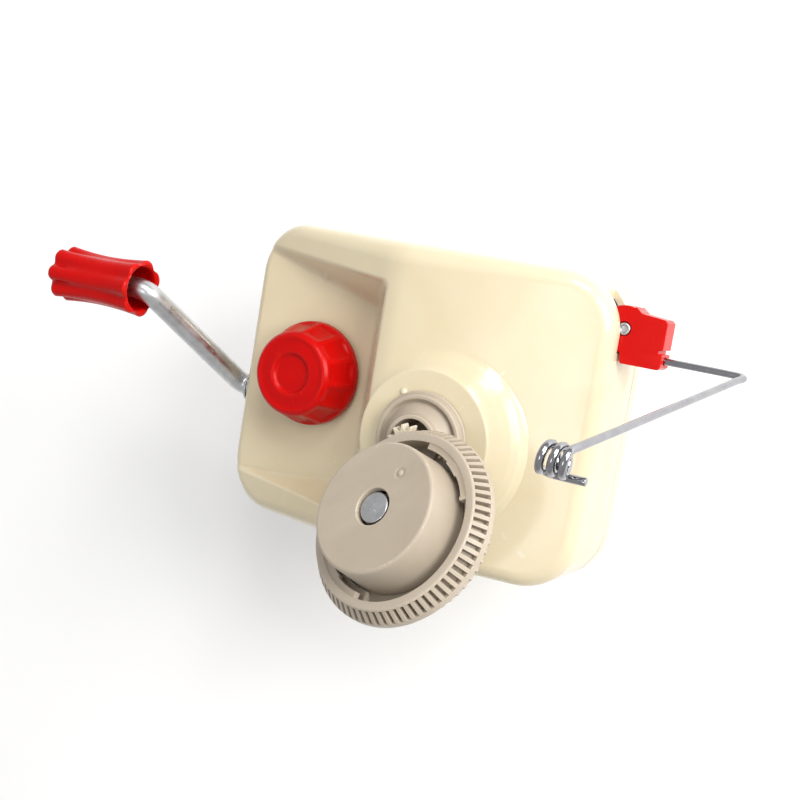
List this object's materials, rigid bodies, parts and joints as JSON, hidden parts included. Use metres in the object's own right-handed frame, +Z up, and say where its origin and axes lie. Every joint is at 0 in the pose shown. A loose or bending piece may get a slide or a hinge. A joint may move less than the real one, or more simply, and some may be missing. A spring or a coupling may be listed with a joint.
{
  "type": "yarn ball winder",
  "caption": "Hand-cranked yarn ball winder with a table clamp, a geared tilted bobbin and a folding wire yarn guide",
  "frame": {"origin": "on the casing's flat underside, which lies on the table, where the main spindle axis meets it", "axes": "+Z up out of the table, +X from the crank towards the yarn guide, +Y towards the guide's pivot side"},
  "size_m": [0.2605, 0.122, 0.1851],
  "materials": {
    "cream_plastic": "glossy, cream",
    "red_plastic": "glossy, red",
    "stone_plastic": "satin, stone grey",
    "nylon": "satin, natural white",
    "rubber": "matt, black",
    "chrome": "polished",
    "zinc_steel": "zinc plated",
    "bronze": "sintered bronze"
  },
  "bodies": {
    "base": {"front_cover": "cream_plastic", "back_cover": "cream_plastic", "cover_screw_1": "zinc_steel", "cover_screw_2": "zinc_steel", "cover_screw_3": "zinc_steel", "cover_screw_4": "zinc_steel", "knob_washer": "zinc_steel", "bearing_block": "nylon", "shaft_bush": "zinc_steel", "lay_axle": "zinc_steel", "sun_post": "zinc_steel", "sun_pinion": "nylon", "hub_bush": "bronze", "guide_pivot": "zinc_steel"},
    "knob": {"clamp_knob": "red_plastic", "clamp_bolt": "zinc_steel"},
    "jaw": {"clamp_jaw": "zinc_steel", "jaw_nut": "zinc_steel", "jaw_pad": "rubber"},
    "crank": {"crank_rod": "zinc_steel", "crank_gear": "nylon", "crank_gear_pin": "zinc_steel", "grip_clip": "zinc_steel"},
    "grip": {"grip": "red_plastic"},
    "lay": {"lay_gear": "nylon"},
    "carrier": {"carrier_hub": "stone_plastic", "carrier_pinion": "nylon", "spindle_pin": "zinc_steel", "thrust_washer": "nylon", "spindle_clip": "zinc_steel"},
    "bobbin": {"bobbin_wheel": "stone_plastic", "bobbin_drum": "stone_plastic"},
    "guide": {"guide_block": "red_plastic"},
    "wire": {"wire_guide": "chrome", "wire_collar": "zinc_steel"}
  },
  "joints": [
    {"name": "crank_spin", "type": "hinge", "parent": "base", "child": "crank", "pos_m": [-0.0915, 0, 0.0175], "axis": [1, 0, 0], "continuous": true},
    {"name": "grip_spin", "type": "hinge", "parent": "crank", "child": "grip", "pos_m": [-0.139, 0.033, 0.0605], "axis": [1, 0, 0], "continuous": true},
    {"name": "lay_spin", "type": "hinge", "parent": "base", "child": "lay", "pos_m": [-0.024, 0, 0.0056], "axis": [0, 0, 1], "continuous": true},
    {"name": "carrier_spin", "type": "hinge", "parent": "base", "child": "carrier", "pos_m": [0, 0, 0.043], "axis": [0, 0, 1], "continuous": true},
    {"name": "bobbin_spin", "type": "hinge", "parent": "carrier", "child": "bobbin", "pos_m": [0, 0, 0.1304], "axis": [-0.2497, 0.4156, 0.8746], "continuous": true},
    {"name": "knob_turn", "type": "hinge", "parent": "base", "child": "knob", "pos_m": [-0.0596, 0.012, 0.026], "axis": [0, 0, 1], "range_deg": [-3240, 3240]},
    {"name": "jaw_slide", "type": "slide", "parent": "base", "child": "jaw", "axis": [0, 0, 1], "range_m": [-0.009, 0.009]},
    {"name": "guide_swing", "type": "hinge", "parent": "base", "child": "guide", "pos_m": [0.0585, 0.0503, 0.0245], "axis": [0, 0, 1], "range_deg": [0, 80]},
    {"name": "wire_fold", "type": "hinge", "parent": "guide", "child": "wire", "pos_m": [0.069, 0.0418, 0.0248], "axis": [1, 0, 0], "range_deg": [-95, 95]}
  ],
  "couplings": [
    {"joint": "lay_spin", "follows": "crank_spin", "ratio": -1.5},
    {"joint": "carrier_spin", "follows": "crank_spin", "ratio": 3.6429},
    {"joint": "bobbin_spin", "follows": "crank_spin", "ratio": 0.71556},
    {"joint": "jaw_slide", "follows": "knob_turn", "m_per_rad": -0.00015915}
  ]
}
